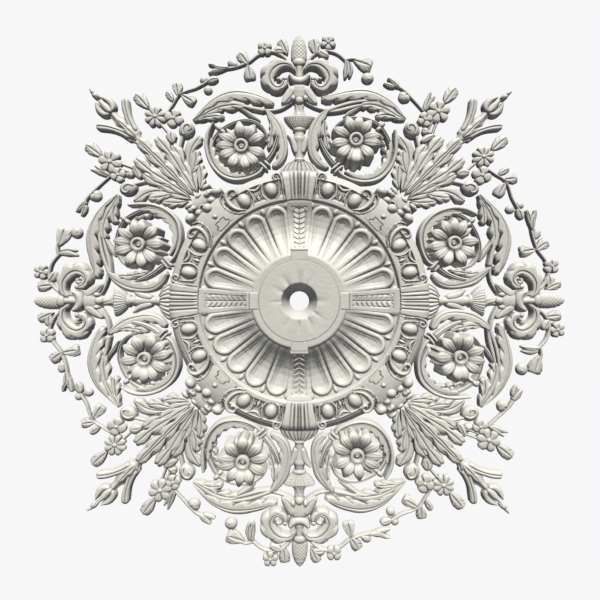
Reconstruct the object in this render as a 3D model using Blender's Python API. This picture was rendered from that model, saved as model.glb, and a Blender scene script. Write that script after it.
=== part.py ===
"""Round plaster ceiling rose: a fluted centre in an egg-and-clasp frame, ringed by openwork foliage.

The rose is one casting. It hangs face down: the flat back lies in the ceiling plane z = 0,
centred on the origin, and the relief stands down from it towards -Z. The ornament repeats
every quarter turn. Sizes are in millimetres until the last step, which makes them metres.
"""
import math

import bmesh
import bpy
from mathutils import Matrix, Vector
from mathutils.geometry import interpolate_bezier

for leftover in list(bpy.data.objects):
    bpy.data.objects.remove(leftover, do_unlink=True)

# Driving dimensions of the centre, in millimetres
HOLE_RADIUS = 22.0
FUNNEL_RADIUS = 38.0
DISC_RADIUS = 84.5
BOSS_RADIUS = 101.0
BOSS_HEIGHT = 100.0
FLUTE_COUNT = 24
FLUTE_DEPTH = 9.0
FLUTE_START_RADIUS = 112.0
FLUTE_END_RADIUS = 203.0
FRAME_INNER_RADIUS = 222.0
FRAME_RADIUS = 279.0
FRAME_EDGE_HEIGHT = 77.0
FRAME_CREST_HEIGHT = 92.0

# Driving dimensions of the foliage: each pair is the wall's height and the crest's
SCROLL_HEIGHTS = (29.0, 39.0)
LEAF_HEIGHTS = (26.0, 36.0)
INNER_HEIGHTS = (20.0, 30.0)
TWIG_HEIGHTS = (13.0, 18.0)
FLOWER_HEIGHTS = (16.0, 24.0)
BUD_HEIGHTS = (26.0, 38.0)
COLUMN_HEIGHTS = (24.0, 40.0)
TALL_BUD_HEIGHTS = (16.0, 30.0)
BINDING_HEIGHTS = (36.0, 48.0)
RIBBON_HEIGHTS = (50.0, 66.0)
CARTOUCHE_HEIGHTS = (60.0, 74.0)
ROSETTE_TIP_HEIGHT = 56.0
ROSETTE_HUB_HEIGHT = 85.0
PETAL_COUNT = 10

# The plan is drawn as an eye EYE_DISTANCE below the ceiling sees it, true to size at PLAN_HEIGHT
EYE_DISTANCE = 1368.0
PLAN_HEIGHT = 24.0

QUARTERS = 4
DIAGONAL = math.radians(45)
METRES = 0.001
BACK_OVERRUN = 4.0
FACETS_KEPT = 0.34

castings = bpy.data.collections.new("castings")
bpy.context.scene.collection.children.link(castings)


def drawn_scale(height):
    """How far a plan point moves in towards the centre to look right at this height."""
    return (EYE_DISTANCE - height) / (EYE_DISTANCE - PLAN_HEIGHT)


def smooth_path(points, steps):
    """Points at even distances along a smooth curve through the given plan points."""
    knots = [Vector((x, y)) for x, y in points]
    ends = [2 * knots[0] - knots[1], *knots, 2 * knots[-1] - knots[-2]]
    dense = []
    for before, start, end, after in zip(ends, ends[1:], ends[2:], ends[3:]):
        lean_in = start + (end - before) / 6
        lean_out = end - (after - start) / 6
        dense += interpolate_bezier(start.to_3d(), lean_in.to_3d(), lean_out.to_3d(), end.to_3d(), 17)[:-1]
    dense.append(knots[-1].to_3d())
    lengths = [0.0]
    for start, end in zip(dense, dense[1:]):
        lengths.append(lengths[-1] + (end - start).length)
    path = []
    index = 0
    for step in range(steps + 1):
        wanted = lengths[-1] * step / steps
        while index < len(dense) - 2 and lengths[index + 1] < wanted:
            index += 1
        share = (wanted - lengths[index]) / (lengths[index + 1] - lengths[index])
        path.append(dense[index].lerp(dense[index + 1], share))
    return path


def raised(columns, rows, place):
    """Mesh of a sheet bent by place(u, v), closed with upright walls and a flat back."""
    mesh = bmesh.new()
    bmesh.ops.create_grid(mesh, x_segments=columns, y_segments=rows, size=0.5)
    for vertex in mesh.verts:
        vertex.co = place(vertex.co.x + 0.5, vertex.co.y + 0.5)
    bmesh.ops.remove_doubles(mesh, verts=mesh.verts[:], dist=0.01)
    copied = bmesh.ops.extrude_face_region(mesh, geom=mesh.faces[:])
    for item in copied["geom"]:
        if isinstance(item, bmesh.types.BMVert):
            item.co.z = -BACK_OVERRUN
    bmesh.ops.recalc_face_normals(mesh, faces=mesh.faces[:])
    data = bpy.data.meshes.new("casting")
    mesh.to_mesh(data)
    mesh.free()
    return data


def cast(data, turn=0.0):
    """Set one piece of ornament in its place in all four quarters."""
    for quarter in range(QUARTERS):
        piece = bpy.data.objects.new("casting", data)
        piece.matrix_world = Matrix.Rotation(turn + quarter * math.tau / QUARTERS, 4, "Z")
        castings.objects.link(piece)


def bar(points, widths, heights, steps, turn=0.0, lobed_side=0):
    """Ridged bar along a smooth path; widths are the half-widths at its start, middle and end.

    With lobed_side, that edge (1 left, -1 right of the run) swells at every second step.
    """
    path = smooth_path(points, steps)
    wall, crest = heights
    scale = drawn_scale(crest)
    start_width, middle_width, end_width = widths
    lobe_depth = 0.3

    def place(u, v):
        step = round(v * steps)
        run = path[min(step + 1, steps)] - path[max(step - 1, 0)]
        side = Vector((-run.y, run.x, 0)).normalized()
        width = start_width * (1 - v) * (1 - 2 * v)
        width += 4 * middle_width * v * (1 - v) + end_width * v * (2 * v - 1)
        across = 2 * u - 1
        if lobed_side * across > 0:
            width *= 1 + lobe_depth * (1 if step % 2 else -1)
        point = (path[step] + side * across * width) * scale
        point.z = wall + (crest - wall) * (1 - across * across)
        return point

    cast(raised(2, steps, place), turn)


def pad(centre, radii, heights, sides, turn=0.0, tilt=0.0, petals=0.0):
    """Domed pad, such as a bud, berry, leaf or flower; petals draws every second side in."""
    wall, crest = heights
    scale = drawn_scale(crest)
    lean = Matrix.Rotation(math.radians(tilt), 2)

    def place(u, v):
        angle = u * math.tau
        reach = v * (1 - petals * (round(u * sides) % 2))
        offset = lean @ Vector((radii[0] * math.sin(angle), radii[1] * math.cos(angle))) * reach
        point = (Vector(centre) + offset).to_3d() * scale
        point.z = wall + (crest - wall) * (1 - v * v)
        return point

    cast(raised(sides, 1, place), turn)


def half_turned(profile, heights, turn=0.0, aside=0.0):
    """Upright half-turned column by the unit's axis, from (distance out, half-width) pairs."""
    wall, crest = heights
    widest = max(width for _, width in profile)
    scale = drawn_scale(crest)

    def place(u, v):
        out, width = profile[round(v * (len(profile) - 1))]
        across = 2 * u - 1
        bulge = math.sqrt(1 - across * across) if abs(across) < 1 else 0.0
        height = wall + (crest - wall) * (0.4 + 0.6 * width / widest) * bulge
        return Vector(((aside + across * width) * scale, out * scale, height))

    cast(raised(4, len(profile) - 1, place), turn)


def rosette(centre, radius):
    """Big flower head: a sunk hub in a raised ring, with broad petals drooping from it."""
    hub_scale = drawn_scale(ROSETTE_HUB_HEIGHT)
    sunk = ROSETTE_HUB_HEIGHT - 7
    hub = [(0.0, sunk), (9.0, sunk - 2), (14.0, ROSETTE_HUB_HEIGHT), (18.0, sunk + 1)]
    rings = [*hub, (radius, ROSETTE_TIP_HEIGHT)]
    sides = 2 * PETAL_COUNT
    notch_reach, notch_depth = 0.88, 6.0

    def place(u, v):
        ring = round(v * (len(rings) - 1))
        reach, height = rings[ring]
        between = round(u * sides) % 2
        if ring == len(rings) - 1 and between:
            reach *= notch_reach
            height -= notch_depth
        angle = u * math.tau
        point = Vector((centre[0] * hub_scale, centre[1] * hub_scale, 0))
        return point + Vector((reach * math.sin(angle), reach * math.cos(angle), height))

    cast(raised(sides, len(rings) - 1, place))


def centre_medallion():
    """Turned centre: pierced boss, fluted bowl, ring fillet and the frame's rounded band."""
    boss_ring = BOSS_HEIGHT - 3.0
    profile = [
        (HOLE_RADIUS, -BACK_OVERRUN),
        (HOLE_RADIUS, 56.0),
        (FUNNEL_RADIUS, boss_ring),
        (FUNNEL_RADIUS + 3, BOSS_HEIGHT),
        (DISC_RADIUS, BOSS_HEIGHT),
        (DISC_RADIUS + 2, boss_ring),
        (BOSS_RADIUS, boss_ring),
        (FLUTE_START_RADIUS, 90.0),
        (138.0, 75.0),
        (164.0, 69.0),
        (190.0, 73.0),
        (FLUTE_END_RADIUS, 78.0),
        (FRAME_INNER_RADIUS - 6, 79.0),
        (FRAME_INNER_RADIUS, 86.0),
        (242.0, FRAME_CREST_HEIGHT),
        (262.0, 86.0),
        (FRAME_RADIUS, FRAME_EDGE_HEIGHT),
        (FRAME_RADIUS, -BACK_OVERRUN),
    ]
    sides = 2 * FLUTE_COUNT
    mesh = bmesh.new()
    bmesh.ops.create_grid(mesh, x_segments=sides, y_segments=len(profile), size=0.5)
    for vertex in mesh.verts:
        side = round((vertex.co.x + 0.5) * sides)
        radius, height = profile[round((vertex.co.y + 0.5) * len(profile)) % len(profile)]
        in_flute = side % 2 == 0 and side % (sides // QUARTERS) != 0
        if in_flute and FLUTE_START_RADIUS < radius < FLUTE_END_RADIUS:
            height -= FLUTE_DEPTH
        angle = side * math.tau / sides
        vertex.co = Vector((radius * math.sin(angle), radius * math.cos(angle), height))
    bmesh.ops.remove_doubles(mesh, verts=mesh.verts[:], dist=0.01)
    bmesh.ops.recalc_face_normals(mesh, faces=mesh.faces[:])
    data = bpy.data.meshes.new("ceiling_rose")
    mesh.to_mesh(data)
    mesh.free()
    rose = bpy.data.objects.new("ceiling_rose", data)
    bpy.context.scene.collection.objects.link(rose)
    return rose


def frame_ornament():
    """Reeded clasps, eggs, volutes and the corner cartouches of the frame."""
    reeds = 5
    reed_depth = 6.0
    reed_crest = FRAME_CREST_HEIGHT + 7
    clasp_half_width = 36.0
    clasp_inner, clasp_outer = 228.0, 292.0

    def place_clasp(u, v):
        out = clasp_inner + (clasp_outer - clasp_inner) * v
        point = Vector(((2 * u - 1) * clasp_half_width, out, 0)) * drawn_scale(reed_crest)
        point.z = reed_crest - (0 if round(u * 2 * reeds) % 2 else reed_depth)
        return point

    cast(raised(2 * reeds, 1, place_clasp))
    egg_heights = (FRAME_CREST_HEIGHT + 2, FRAME_CREST_HEIGHT + 7)
    volute_heights = (FRAME_CREST_HEIGHT - 6, FRAME_CREST_HEIGHT)
    rim_heights = (FRAME_EDGE_HEIGHT + 3, FRAME_EDGE_HEIGHT + 9)
    for side in (-1, 1):
        pad((side * 63, 247), (13, 18), egg_heights, 6)
        pad((side * 127, 221), (14, 18), egg_heights, 6, tilt=-side * 25)
        pad((side * 53, 277), (12, 11), volute_heights, 5)
        bar([(side * 145, 238), (side * 158, 222), (side * 150, 205), (side * 132, 197)],
            (9, 7, 5), egg_heights, 4)
        bar([(side * 50, 285), (side * 98, 270), (side * 150, 252)], (6, 6, 6), rim_heights, 3)
    bar([(-68, 281), (0, 286), (68, 281)], (11, 9, 11), CARTOUCHE_HEIGHTS, 4, DIAGONAL)
    for side in (-1, 1):
        bar([(side * 4, 312), (side * 30, 304), (side * 58, 308)], (9, 14, 8), RIBBON_HEIGHTS, 4, DIAGONAL)
    bar([(-38, 327), (1, 328), (38, 327)], (12, 12, 12), BINDING_HEIGHTS, 3, DIAGONAL)


def candelabrum():
    """Shell, calyx, vase, husk and pine cone stacked on the unit's axis, with two C-scrolls."""
    half_turned(
        [(275, 44), (298, 41), (308, 32), (316, 20), (321, 10), (335, 10), (362, 13), (384, 14), (394, 24),
         (410, 36), (420, 26), (426, 10), (439, 10), (443, 17), (470, 13), (486, 18), (492, 24), (506, 21),
         (512, 9), (526, 9)],
        COLUMN_HEIGHTS)
    half_turned([(516, 9), (530, 13), (544, 18), (562, 19), (580, 13), (599, 2)], COLUMN_HEIGHTS, aside=-2.5)
    for side in (-1, 1):
        bar([(side * 6, 325), (side * 12, 352), (side * 26, 371)], (5, 6, 4), LEAF_HEIGHTS, 3)
        bar([(side * 12, 478), (side * 24, 462), (side * 40, 445)], (5, 9, 4), LEAF_HEIGHTS, 3)
        bar([(side * 6, 447), (side * 40, 439), (side * 78, 431)], (5, 4, 4), INNER_HEIGHTS, 3)
        bar([(side * 7, 520), (side * 36, 535), (side * 67, 521), (side * 77, 496), (side * 58, 482),
             (side * 36, 488), (side * 29, 505)],
            (3, 14, 7), SCROLL_HEIGHTS, 11)


def left_scroll():
    """Acanthus scroll that winds round the left rosette."""
    bar([(-247, 406), (-200, 440), (-150, 443), (-110, 435), (-72, 429)], (7, 8, 7), SCROLL_HEIGHTS, 7)
    bar([(-238, 416), (-190, 450), (-140, 463), (-98, 461), (-58, 448)], (5, 13, 4), LEAF_HEIGHTS, 10,
        lobed_side=-1)
    bar([(-234, 418), (-204, 429), (-173, 423)], (5, 11, 5), LEAF_HEIGHTS, 4, lobed_side=-1)
    bar([(-135, 437), (-110, 426), (-90, 405)], (3, 8, 4), LEAF_HEIGHTS, 3)
    bar([(-70, 432), (-52, 400), (-43, 365), (-42, 330), (-60, 301)], (7, 14, 4), LEAF_HEIGHTS, 6)
    bar([(-62, 395), (-66, 365), (-68, 339)], (5, 8, 4), INNER_HEIGHTS, 3)
    bar([(-48, 380), (-57, 345), (-70, 321), (-84, 305)], (5, 6, 7), INNER_HEIGHTS, 4)
    pad((-83, 307), (15, 12), SCROLL_HEIGHTS, 6, tilt=-40)
    bar([(-84, 303), (-142, 277), (-193, 295), (-214, 345), (-199, 403)], (8, 9, 7), SCROLL_HEIGHTS, 12)
    bar([(-108, 294), (-150, 291), (-182, 312), (-192, 345)], (4, 14, 4), INNER_HEIGHTS, 6, lobed_side=-1)
    for height_up in (330, 353, 376):
        pad((-186, height_up), (9, 12), INNER_HEIGHTS, 6)
    bar([(-206, 345), (-195, 369), (-178, 390), (-140, 408), (-106, 407), (-82, 384), (-74, 352)],
        (5, 5, 4), INNER_HEIGHTS, 10)
    pad((-178, 390), (12, 9), LEAF_HEIGHTS, 6, tilt=-45)
    rosette((-131, 350), 57)


def right_scroll():
    """Acanthus scroll that winds round the right rosette."""
    bar([(246, 402), (200, 441), (145, 451), (100, 444), (58, 430)], (7, 9, 6), SCROLL_HEIGHTS, 7)
    bar([(226, 428), (175, 460), (125, 467), (88, 462), (53, 460)], (5, 11, 6), LEAF_HEIGHTS, 9,
        lobed_side=1)
    bar([(234, 416), (202, 428), (174, 423)], (5, 12, 6), LEAF_HEIGHTS, 4, lobed_side=1)
    bar([(175, 440), (120, 438), (66, 428)], (7, 8, 5), LEAF_HEIGHTS, 5, lobed_side=1)
    bar([(118, 428), (100, 412)], (6, 6, 4), INNER_HEIGHTS, 2)
    bar([(62, 430), (46, 400), (36, 365), (40, 330), (64, 301)], (7, 14, 4), LEAF_HEIGHTS, 6)
    bar([(52, 385), (60, 360), (66, 341)], (5, 7, 4), INNER_HEIGHTS, 3)
    bar([(44, 372), (56, 340), (72, 314), (90, 294)], (5, 6, 7), INNER_HEIGHTS, 4)
    pad((87, 298), (15, 12), SCROLL_HEIGHTS, 6, tilt=40)
    bar([(90, 295), (142, 273), (197, 291), (219, 338), (220, 388)], (8, 9, 7), SCROLL_HEIGHTS, 12)
    bar([(112, 287), (152, 286), (186, 306), (198, 338)], (4, 12, 4), INNER_HEIGHTS, 6, lobed_side=1)
    for height_up in (322, 344, 364):
        pad((190, height_up), (9, 12), INNER_HEIGHTS, 6)
    bar([(212, 340), (204, 364), (184, 392), (150, 410), (110, 410), (74, 388)],
        (6, 5, 4), INNER_HEIGHTS, 8)
    pad((181, 391), (12, 9), LEAF_HEIGHTS, 6, tilt=45)
    rosette((128, 364), 57)


def flower_sprays():
    """Two twigs that arch out from the foot of the pine cone."""
    bar([(-10, 515), (-36, 552), (-78, 561), (-115, 536), (-150, 524), (-194, 521)],
        (5, 4, 5), TWIG_HEIGHTS, 9)
    bar([(8, 515), (30, 552), (62, 562), (92, 551), (114, 534)], (5, 4, 4), TWIG_HEIGHTS, 7)
    bar([(104, 541), (140, 538), (152, 505)], (4, 5, 4), TWIG_HEIGHTS, 3)
    for centre, radii, tilt in (
            ((-35, 570), (12, 17), 20), ((-126, 543), (13, 17), 20), ((-150, 530), (13, 10), 0),
            ((-112, 515), (14, 20), 10), ((-51, 560), (15, 12), 0), ((-193, 521), (9, 11), 0),
            ((32, 571), (13, 17), -10), ((54, 555), (16, 10), -20), ((109, 519), (10, 22), 5),
            ((139, 532), (22, 17), 0), ((154, 502), (14, 14), 0)):
        pad(centre, radii, TWIG_HEIGHTS, 6, tilt=tilt)
    pad((-77, 566), (18, 18), FLOWER_HEIGHTS, 8, petals=0.1)
    pad((65, 581), (18, 18), FLOWER_HEIGHTS, 8, petals=0.1)


def diagonal_bouquet():
    """Leaf fan, tall bud and two flower sprays on the diagonal."""
    bar([(0, 334), (0, 420), (0, 513)], (7, 29, 12), BUD_HEIGHTS, 4, DIAGONAL)
    for side, tip in ((-1, (-31, 482)), (1, (34, 488))):
        bar([(side * 8, 342), (side * 16, 400), (side * 25, 445), tip], (6, 13, 8), LEAF_HEIGHTS, 5,
            DIAGONAL, lobed_side=side * -1)
    bar([(-14, 332), (-32, 380), (-58, 412), (-98, 420)], (14, 15, 6), LEAF_HEIGHTS, 7,
        DIAGONAL, lobed_side=1)
    bar([(16, 332), (38, 372), (66, 410), (110, 422)], (14, 17, 6), LEAF_HEIGHTS, 7,
        DIAGONAL, lobed_side=-1)
    for side in (-1, 1):
        bar([(side * 26, 412), (side * 58, 436), (side * 84, 452)], (5, 5, 5), INNER_HEIGHTS, 3, DIAGONAL)
        pad((side * 92, 453), (20, 17), BUD_HEIGHTS, 8, DIAGONAL)
    bar([(-22, 424), (-44, 455), (-58, 482), (-72, 508)], (5, 4, 4), TWIG_HEIGHTS, 4, DIAGONAL)
    pad((-51, 464), (10, 16), FLOWER_HEIGHTS, 6, DIAGONAL)
    pad((-66, 471), (10, 9), FLOWER_HEIGHTS, 6, DIAGONAL)
    bar([(36, 420), (56, 452), (61, 478), (61, 520)], (5, 4, 4), TWIG_HEIGHTS, 4, DIAGONAL)
    pad((60, 466), (15, 13), FLOWER_HEIGHTS, 6, DIAGONAL)
    half_turned(
        [(502, 8), (524, 12), (545, 18), (562, 19), (584, 15), (600, 10)],
        TALL_BUD_HEIGHTS, DIAGONAL)
    half_turned(
        [(590, 6), (598, 13), (615, 19), (632, 18), (645, 8), (655, 8), (672, 2)],
        TALL_BUD_HEIGHTS, DIAGONAL, aside=2)
    bar([(-10, 564), (-24, 592), (-41, 604)], (7, 10, 8), FLOWER_HEIGHTS, 3, DIAGONAL)
    bar([(10, 560), (24, 590), (47, 606)], (7, 10, 6), FLOWER_HEIGHTS, 3, DIAGONAL)
    pad((-88, 490), (18, 18), FLOWER_HEIGHTS, 8, DIAGONAL, petals=0.15)
    pad((-78, 523), (27, 26), FLOWER_HEIGHTS, 12, DIAGONAL, petals=0.25)
    pad((-88, 564), (14, 22), TWIG_HEIGHTS, 6, DIAGONAL)
    bar([(-86, 535), (-87, 552)], (5, 5, 5), TWIG_HEIGHTS, 1, DIAGONAL)
    bar([(-100, 500), (-112, 520), (-116, 541)], (6, 7, 4), TWIG_HEIGHTS, 2, DIAGONAL)
    bar([(-95, 498), (-140, 499), (-172, 503), (-211, 489)], (4, 5, 7), TWIG_HEIGHTS, 6, DIAGONAL)
    pad((-156, 491), (17, 14), TWIG_HEIGHTS, 6, DIAGONAL)
    pad((64, 524), (25, 25), FLOWER_HEIGHTS, 10, DIAGONAL)
    pad((69, 565), (14, 22), TWIG_HEIGHTS, 6, DIAGONAL)
    pad((90, 492), (22, 22), FLOWER_HEIGHTS, 8, DIAGONAL, petals=0.2)
    bar([(88, 505), (130, 516), (168, 505), (190, 497), (222, 484)], (4, 4, 10), TWIG_HEIGHTS, 7, DIAGONAL)
    for centre, radii, tilt in (
            ((118, 527), (7, 15), -10), ((142, 527), (12, 15), -20), ((143, 499), (12, 17), 15),
            ((199, 502), (9, 9), 0), ((190, 481), (10, 10), 0)):
        pad(centre, radii, TWIG_HEIGHTS, 6, DIAGONAL, tilt=tilt)


def apply_boolean(target, operation, **operand):
    """Run one Boolean on the target and keep its result as the target's mesh."""
    cut = target.modifiers.new(operation, "BOOLEAN")
    cut.operation = operation
    for setting, value in operand.items():
        setattr(cut, setting, value)
    evaluated = target.evaluated_get(bpy.context.evaluated_depsgraph_get())
    data = bpy.data.meshes.new_from_object(evaluated)
    target.modifiers.clear()
    target.data = data


def plaster_material():
    """Matt warm-white casting plaster."""
    plaster = bpy.data.materials.new("plaster")
    plaster.use_nodes = True
    shader = plaster.node_tree.nodes["Principled BSDF"]
    shader.inputs["Base Color"].default_value = (0.74, 0.72, 0.66, 1.0)
    shader.inputs["Roughness"].default_value = 0.85
    shader.inputs["Metallic"].default_value = 0.0
    return plaster


def cut_flat_back(rose):
    """Cut away everything above the ceiling plane, which leaves one flat back."""
    block_depth = 40.0
    block = bmesh.new()
    bmesh.ops.create_cube(block, size=1.0)
    bmesh.ops.scale(block, vec=(6 * FRAME_RADIUS, 6 * FRAME_RADIUS, block_depth), verts=block.verts[:])
    bmesh.ops.translate(block, vec=(0, 0, -block_depth / 2), verts=block.verts[:])
    data = bpy.data.meshes.new("above_ceiling")
    block.to_mesh(data)
    block.free()
    cutter = bpy.data.objects.new("above_ceiling", data)
    bpy.context.scene.collection.objects.link(cutter)
    apply_boolean(rose, "DIFFERENCE", object=cutter)
    bpy.data.objects.remove(cutter)


def thin_foliage(rose):
    """Merge the smallest facets outside the bowl, whose turned form and flutes stay as they are."""
    bowl = rose.vertex_groups.new(name="bowl")
    kept = [vertex.index for vertex in rose.data.vertices if vertex.co.xy.length < FRAME_INNER_RADIUS]
    bowl.add(kept, 1.0, "REPLACE")
    thinning = rose.modifiers.new("thinning", "DECIMATE")
    thinning.ratio = FACETS_KEPT
    thinning.vertex_group = bowl.name
    thinning.invert_vertex_group = True


rose = centre_medallion()
frame_ornament()
candelabrum()
left_scroll()
right_scroll()
flower_sprays()
diagonal_bouquet()
apply_boolean(rose, "UNION", operand_type="COLLECTION", collection=castings)
for piece in list(castings.objects):
    bpy.data.objects.remove(piece)
cut_flat_back(rose)
thin_foliage(rose)

face_down = Matrix.Rotation(math.pi, 4, "X") @ Matrix.Scale(METRES, 4)
rose.data.transform(face_down)
rose.data.materials.append(plaster_material())
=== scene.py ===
"""Looks for the round plaster ceiling rose, which hangs face down with its back in the plane z = 0.

The carving is drawn in millimetres as the photograph shows it, with x to the right, y up the
picture and z out of the ceiling. Each piece is turned face down and made metres as it is finished.
"""

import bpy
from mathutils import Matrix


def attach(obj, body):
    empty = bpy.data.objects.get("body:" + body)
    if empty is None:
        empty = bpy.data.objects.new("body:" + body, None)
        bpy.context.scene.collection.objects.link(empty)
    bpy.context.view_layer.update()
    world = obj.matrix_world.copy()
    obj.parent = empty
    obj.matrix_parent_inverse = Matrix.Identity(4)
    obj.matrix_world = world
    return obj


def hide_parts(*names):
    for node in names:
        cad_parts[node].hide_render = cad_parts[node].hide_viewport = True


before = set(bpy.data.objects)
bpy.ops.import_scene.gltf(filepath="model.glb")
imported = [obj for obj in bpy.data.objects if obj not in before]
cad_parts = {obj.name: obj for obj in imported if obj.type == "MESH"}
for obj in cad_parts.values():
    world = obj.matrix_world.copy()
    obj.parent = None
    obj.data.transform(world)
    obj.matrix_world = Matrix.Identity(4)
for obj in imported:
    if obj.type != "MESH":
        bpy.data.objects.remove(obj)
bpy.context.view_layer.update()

import math
from bisect import bisect_left

import bmesh
import bpy
from mathutils import Matrix, Vector
from mathutils.geometry import interpolate_bezier
from mathutils.kdtree import KDTree

# Camera
# The photograph looks straight up at the rose from 1.37 m below the ceiling, with the top of
# the picture towards -Y. The rose stands a millimetre or two off the picture's centre.
EYE_DISTANCE = 1368.0
METRES = 0.001
camera_data = bpy.data.cameras.new("camera")
camera_data.sensor_width = 36
camera_data.lens = 36
camera = bpy.data.objects.new("camera", camera_data)
camera.location = (0.0016, -0.0023, -EYE_DISTANCE * METRES)
camera.rotation_euler = (math.pi, 0, 0)
bpy.context.scene.collection.objects.link(camera)
bpy.context.scene.camera = camera

# Lamps and surroundings
# Soft daylight from the top of the picture and a little to the right, a faint light straight up,
# a lamp over the flat back, and pale surroundings. The lamps are broad and cast no shadow.
bpy.context.scene.view_settings.view_transform = "Standard"


def linear(code):
    """Linear colour from an sRGB hex code."""
    channels = [int(code[start:start + 2], 16) / 255 for start in (0, 2, 4)]
    return (*[c / 12.92 if c <= 0.04045 else ((c + 0.055) / 1.055) ** 2.4 for c in channels], 1.0)


def add_node(tree, kind, settings, links):
    """Add a shader node with its settings and its links, given as input name or number: socket."""
    node = tree.nodes.new(kind)
    for name, value in settings.items():
        if isinstance(name, int) or name in node.inputs:
            node.inputs[name].default_value = value
        else:
            setattr(node, name, value)
    for name, socket in links.items():
        tree.links.new(socket, node.inputs[name])
    return node


def lamp(name, towards, strength, code, glances=True):
    """Broad shadowless lamp; its light travels towards a direction and may glance off surfaces."""
    data = bpy.data.lights.new(name, "SUN")
    data.energy = strength
    data.angle = math.radians(20)
    data.color = linear(code)[:3]
    data.use_shadow = False
    light = bpy.data.objects.new(name, data)
    light.rotation_euler = Vector(towards).to_track_quat("-Z", "Y").to_euler()
    light.visible_glossy = glances
    bpy.context.scene.collection.objects.link(light)


lamp("key", (-0.087, 0.862, 0.500), 4.5, "FFFEFB")
lamp("front", (0.0, 0.0, 1.0), 0.3, "FFFFFF")
# the lamp over the back doesn't glance off the upright sides of the carving
lamp("ceiling", (0.0, 0.0, -1.0), 2.6, "FFFFFF", glances=False)
# the room looks nearly white, but sheds only a faint cool light on the plaster
world = bpy.data.worlds.new("pale room")
bpy.context.scene.world = world
world.use_nodes = True
room = world.node_tree
backdrop = room.nodes["Background"]
backdrop.inputs["Color"].default_value = linear("F7F7F7")
ambient = add_node(room, "ShaderNodeBackground", {"Color": linear("DDE4FA"), "Strength": 0.06}, {})
ray_kind = add_node(room, "ShaderNodeLightPath", {}, {})
surroundings = add_node(room, "ShaderNodeMixShader", {},
                        {"Fac": ray_kind.outputs["Is Camera Ray"],
                         1: ambient.outputs["Background"], 2: backdrop.outputs["Background"]})
room.links.new(surroundings.outputs["Shader"], room.nodes["World Output"].inputs["Surface"])

# Plaster
# Cast gypsum plaster, brushed with a limewash: warm white and quite matt, with cloudy
# differences in whiteness some 60 mm wide and a fine grain from the mould. Painted shade greys
# the colour in the crevices of the carving, which sharpens its edges.
PLASTER_WHITE = "DDDAD2"
PLASTER_GREY = "D5D2CA"
PAINTED_SHADE_GREY = "8F8C86"
PLASTER_ROUGHNESS = 0.5
GYPSUM_IOR = 1.5
CLOUD_WIDTH = 0.060
CREVICE_WIDTH = 0.007
# brush marks are 9 mm wide and 1.2 mm deep; the grain of some 0.3 mm is drawn 1.8 mm wide to show
BRUSH_WIDTH = 0.009
BRUSH_DEPTH = 0.0012
GRAIN_WIDTH = 0.0018
GRAIN_DEPTH = 0.0002
# a Mix node's inputs and outputs for colour share their names with others, so they go by number
FIRST_COLOUR = 6
SECOND_COLOUR = 7
MIXED_COLOUR = 2

plaster = bpy.data.materials.new("cast_gypsum_plaster")
plaster.use_nodes = True
tree = plaster.node_tree
surface = tree.nodes["Principled BSDF"]
place_on_piece = add_node(tree, "ShaderNodeTexCoord", {}, {}).outputs["Object"]
clouds = add_node(tree, "ShaderNodeTexNoise", {"Scale": 1 / CLOUD_WIDTH, "Detail": 3.0},
                  {"Vector": place_on_piece})
brushing = add_node(tree, "ShaderNodeTexNoise", {"Scale": 1 / BRUSH_WIDTH, "Detail": 2.0},
                    {"Vector": place_on_piece})
grain = add_node(tree, "ShaderNodeTexNoise", {"Scale": 1 / GRAIN_WIDTH, "Detail": 2.0},
                 {"Vector": place_on_piece})
whiteness = add_node(tree, "ShaderNodeMapRange", {"From Min": 0.3, "From Max": 0.7},
                     {"Value": clouds.outputs["Fac"]})
clouded = add_node(tree, "ShaderNodeMix", {"data_type": "RGBA", FIRST_COLOUR: linear(PLASTER_GREY),
                                           SECOND_COLOUR: linear(PLASTER_WHITE)},
                   {"Factor": whiteness.outputs["Result"]})
# painted shade: ambient occlusion within 7 mm greys the colour wherever the carving closes in
crevices = add_node(tree, "ShaderNodeAmbientOcclusion",
                    {"Distance": CREVICE_WIDTH, "samples": 12, "only_local": True}, {})
openness = add_node(tree, "ShaderNodeMapRange", {"From Min": 0.3, "From Max": 0.92},
                    {"Value": crevices.outputs["AO"]})
# the painted shade mixes the crevice grey into the clouded plaster colour
crevice_shaded = add_node(tree, "ShaderNodeMix",
                      {"data_type": "RGBA", FIRST_COLOUR: linear(PAINTED_SHADE_GREY)},
                      {"Factor": openness.outputs["Result"],
                       SECOND_COLOUR: clouded.outputs[MIXED_COLOUR]})
tree.links.new(crevice_shaded.outputs[MIXED_COLOUR], surface.inputs["Base Color"])
soft_bump = add_node(tree, "ShaderNodeBump", {"Strength": 0.5, "Distance": BRUSH_DEPTH},
                     {"Height": brushing.outputs["Fac"]})
fine_bump = add_node(tree, "ShaderNodeBump", {"Strength": 0.2, "Distance": GRAIN_DEPTH},
                     {"Height": grain.outputs["Fac"], "Normal": soft_bump.outputs["Normal"]})
tree.links.new(fine_bump.outputs["Normal"], surface.inputs["Normal"])
surface.inputs["Roughness"].default_value = PLASTER_ROUGHNESS
surface.inputs["IOR"].default_value = GYPSUM_IOR

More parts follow.
